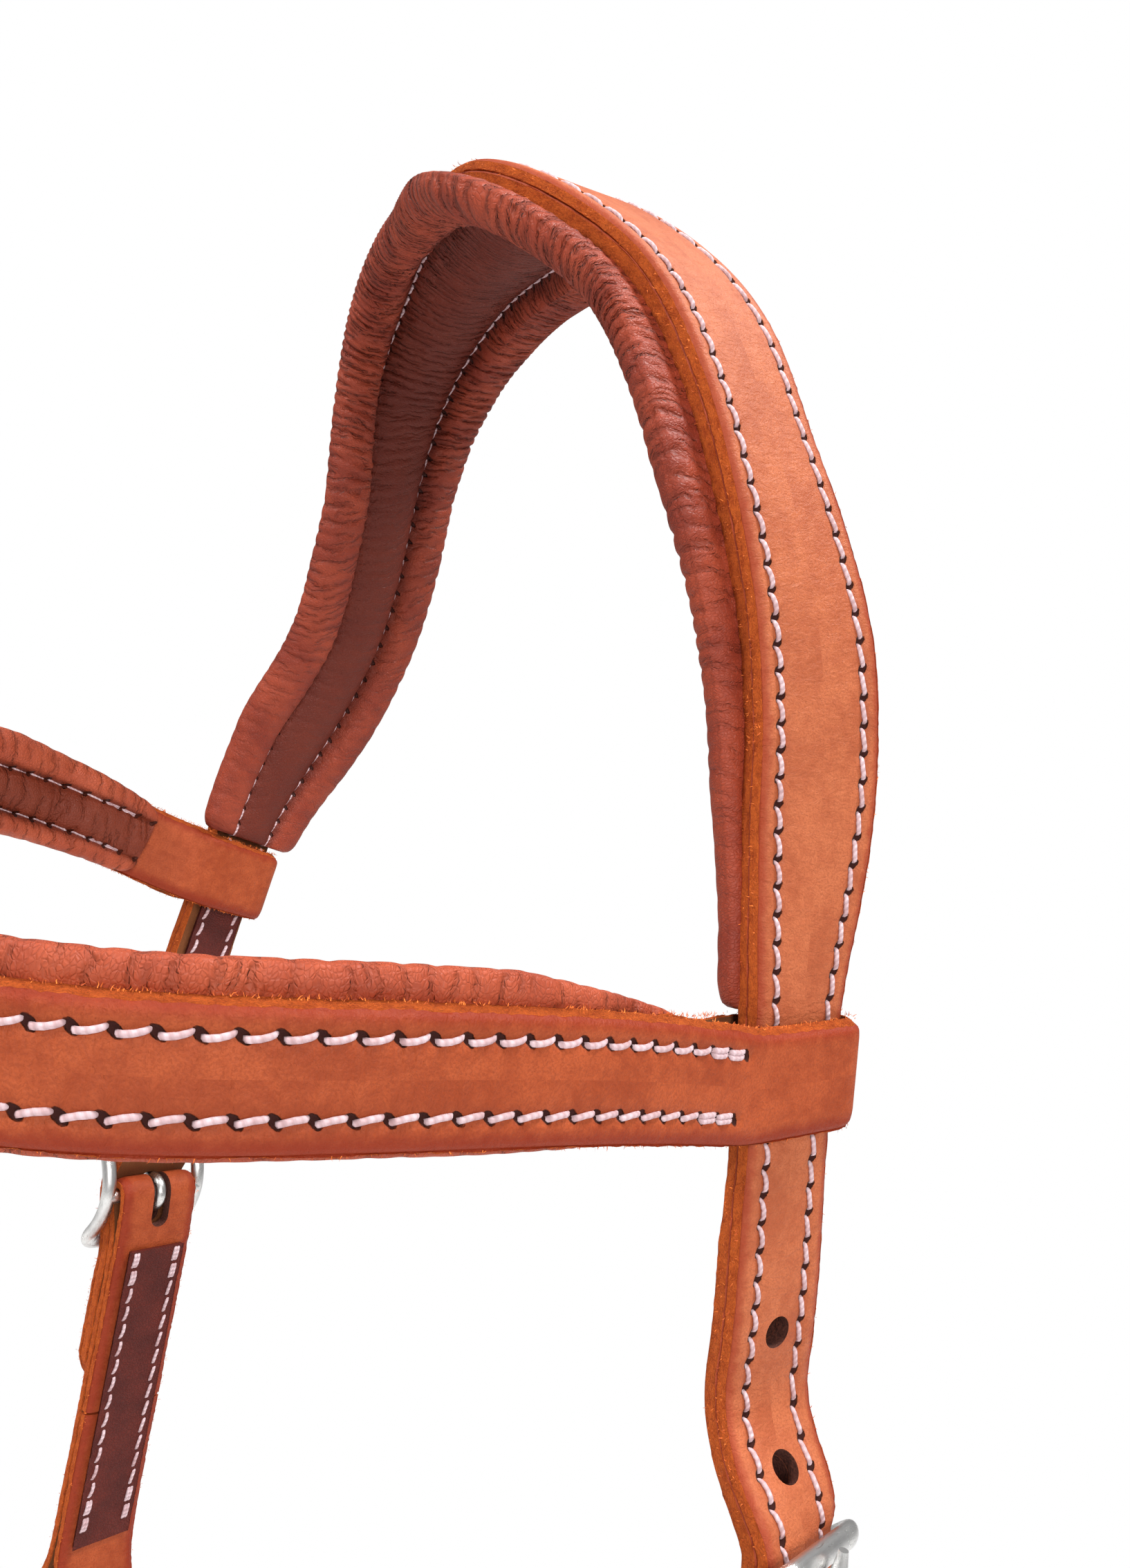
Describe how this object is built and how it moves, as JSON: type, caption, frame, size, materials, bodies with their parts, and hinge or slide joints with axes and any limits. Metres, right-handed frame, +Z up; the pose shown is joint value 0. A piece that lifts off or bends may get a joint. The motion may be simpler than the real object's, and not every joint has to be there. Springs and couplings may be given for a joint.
{
  "type": "sidepull bridle",
  "caption": "Leather bitless sidepull bridle: padded headpiece, padded browband, buckled cheekpieces, side rings, padded noseband and a buckled jaw strap.",
  "frame": {"origin": "middle of the small flat under the headpiece's pad, where the poll carries it", "axes": "+Z up; the horse faces -Y; +X is the near (left) side of the horse"},
  "size_m": [0.1974, 0.2127, 0.4399],
  "materials": {
    "tan_leather": "vegetable-tanned bridle leather, matt",
    "brown_pad_leather": "soft padded leather, matt, finely wrinkled",
    "dark_lining_leather": "thin soft lining leather, matt",
    "nickel_plate": "bright satin plate"
  },
  "bodies": {
    "headstall": {"headpiece_strap": "tan_leather", "headpiece_backing": "tan_leather", "headpiece_pad": "brown_pad_leather", "near_billet_lining": "dark_lining_leather", "far_billet_lining": "dark_lining_leather", "near_cheek_strap": "tan_leather", "near_cheek_lining": "dark_lining_leather", "far_cheek_strap": "tan_leather", "far_cheek_lining": "dark_lining_leather"},
    "browband": {"browband_strap": "tan_leather", "browband_pad": "brown_pad_leather"},
    "near_frame": {"near_buckle_frame": "nickel_plate"},
    "near_tongue": {"near_buckle_tongue": "nickel_plate"},
    "far_frame": {"far_buckle_frame": "nickel_plate"},
    "far_tongue": {"far_buckle_tongue": "nickel_plate"},
    "near_ring": {"near_side_ring": "nickel_plate"},
    "far_ring": {"far_side_ring": "nickel_plate"},
    "noseband": {"noseband_strap": "tan_leather", "noseband_backing": "tan_leather", "noseband_pad": "brown_pad_leather"},
    "jaw": {"jaw_billet": "tan_leather", "jaw_buckle_strap": "tan_leather"},
    "jaw_frame": {"jaw_buckle_frame": "nickel_plate"},
    "jaw_tongue": {"jaw_buckle_tongue": "nickel_plate"}
  },
  "joints": [
    {"name": "browband_slide", "type": "slide", "parent": "headstall", "child": "browband", "axis": [0.0427, -0.0736, -0.9964], "range_m": [0, 0.004]},
    {"name": "near_buckle_tilt", "type": "hinge", "parent": "headstall", "child": "near_frame", "pos_m": [0.09339, 0.01118, -0.21196], "axis": [-0.0578, 0.9979, -0.0299], "range_deg": [-2, 2]},
    {"name": "near_tongue_turn", "type": "hinge", "parent": "near_frame", "child": "near_tongue", "pos_m": [0.09339, 0.01118, -0.21196], "axis": [-0.0578, 0.9979, -0.0299], "range_deg": [0, 3]},
    {"name": "far_buckle_tilt", "type": "hinge", "parent": "headstall", "child": "far_frame", "pos_m": [-0.07825, 0.0013, -0.20972], "axis": [0.0578, -0.9979, 0.0299], "range_deg": [-2, 2]},
    {"name": "far_tongue_turn", "type": "hinge", "parent": "far_frame", "child": "far_tongue", "pos_m": [-0.07825, 0.0013, -0.20972], "axis": [0.0578, -0.9979, 0.0299], "range_deg": [0, 3]},
    {"name": "jaw_buckle_tilt", "type": "hinge", "parent": "jaw", "child": "jaw_frame", "pos_m": [0.07187, 0.0572, -0.39573], "axis": [0.0348, -0.7537, -0.6563], "range_deg": [-2, 2]},
    {"name": "jaw_tongue_turn", "type": "hinge", "parent": "jaw_frame", "child": "jaw_tongue", "pos_m": [0.07187, 0.0572, -0.39573], "axis": [0.0348, -0.7537, -0.6563], "range_deg": [0, 3]},
    {"name": "near_ring_turn", "type": "hinge", "parent": "headstall", "child": "near_ring", "pos_m": [0.08943, 0.00719, -0.33736], "axis": [0.9983, 0.0575, -0.013], "continuous": true},
    {"name": "far_ring_turn", "type": "hinge", "parent": "headstall", "child": "far_ring", "pos_m": [-0.07712, -0.0024, -0.33519], "axis": [0.9983, 0.0575, -0.013], "continuous": true},
    {"name": "noseband_swing", "type": "hinge", "parent": "headstall", "child": "noseband", "pos_m": [0.00616, 0.00239, -0.33627], "axis": [-0.9983, -0.0575, 0.013], "range_deg": [0, 40]},
    {"name": "jaw_swing", "type": "hinge", "parent": "headstall", "child": "jaw", "pos_m": [0.00616, 0.00239, -0.33627], "axis": [0.9983, 0.0575, -0.013], "range_deg": [0, 40]}
  ]
}
